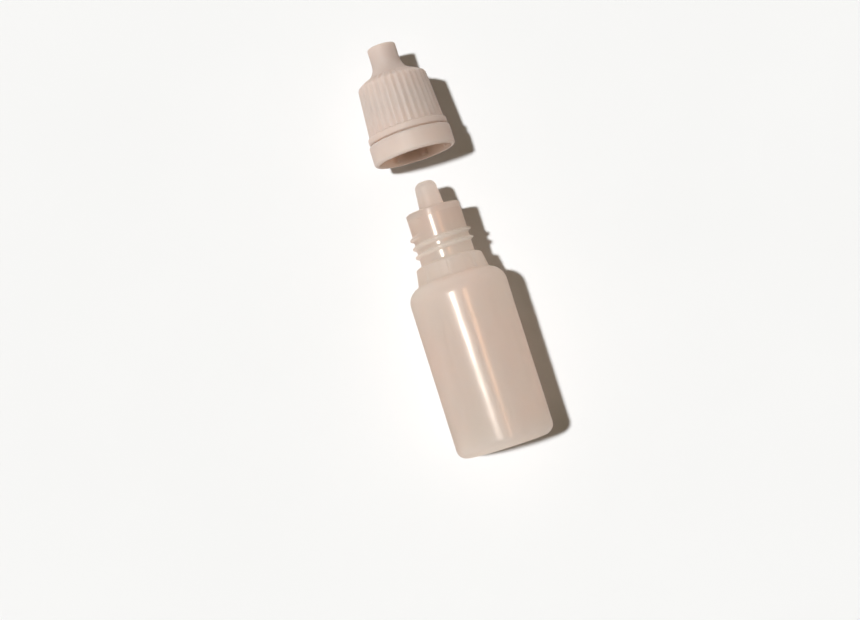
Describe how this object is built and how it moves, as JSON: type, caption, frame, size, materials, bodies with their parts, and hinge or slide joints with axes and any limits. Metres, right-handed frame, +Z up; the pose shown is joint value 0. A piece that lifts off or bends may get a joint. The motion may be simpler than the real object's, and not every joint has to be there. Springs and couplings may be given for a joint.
{
  "type": "dropper bottle",
  "caption": "Small translucent squeeze dropper bottle lying on its side, with a press-in dropper tip, a ribbed screw cap and a tamper band lined up off the tip.",
  "frame": {"origin": "on the surface that the bottle lies on, below the middle of the whole object's box", "axes": "+X along the neck axis from the bottle's base towards the tip and the cap, +Z up from the surface"},
  "size_m": [0.105, 0.025, 0.025],
  "materials": {
    "bottle_plastic": "milky translucent low-density polyethylene, satin",
    "insert_plastic": "milky translucent low-density polyethylene, satin",
    "closure_plastic": "warm white moulded plastic, matte"
  },
  "bodies": {
    "bottle": {"bottle": "bottle_plastic", "dropper_insert": "insert_plastic"},
    "tamper_band": {"tamper_band": "closure_plastic"},
    "cap": {"cap": "closure_plastic"}
  },
  "joints": [
    {"name": "closure_slide", "type": "slide", "parent": "bottle", "child": "tamper_band", "axis": [1, 0, 0], "range_m": [-0.0315, 0]},
    {"name": "cap_turn", "type": "hinge", "parent": "tamper_band", "child": "cap", "pos_m": [0.02328, 0, 0.0125], "axis": [1, 0, 0], "range_deg": [-5040, 0]}
  ],
  "couplings": [
    {"joint": "closure_slide", "follows": "cap_turn", "m_per_rad": 0.0003581}
  ]
}
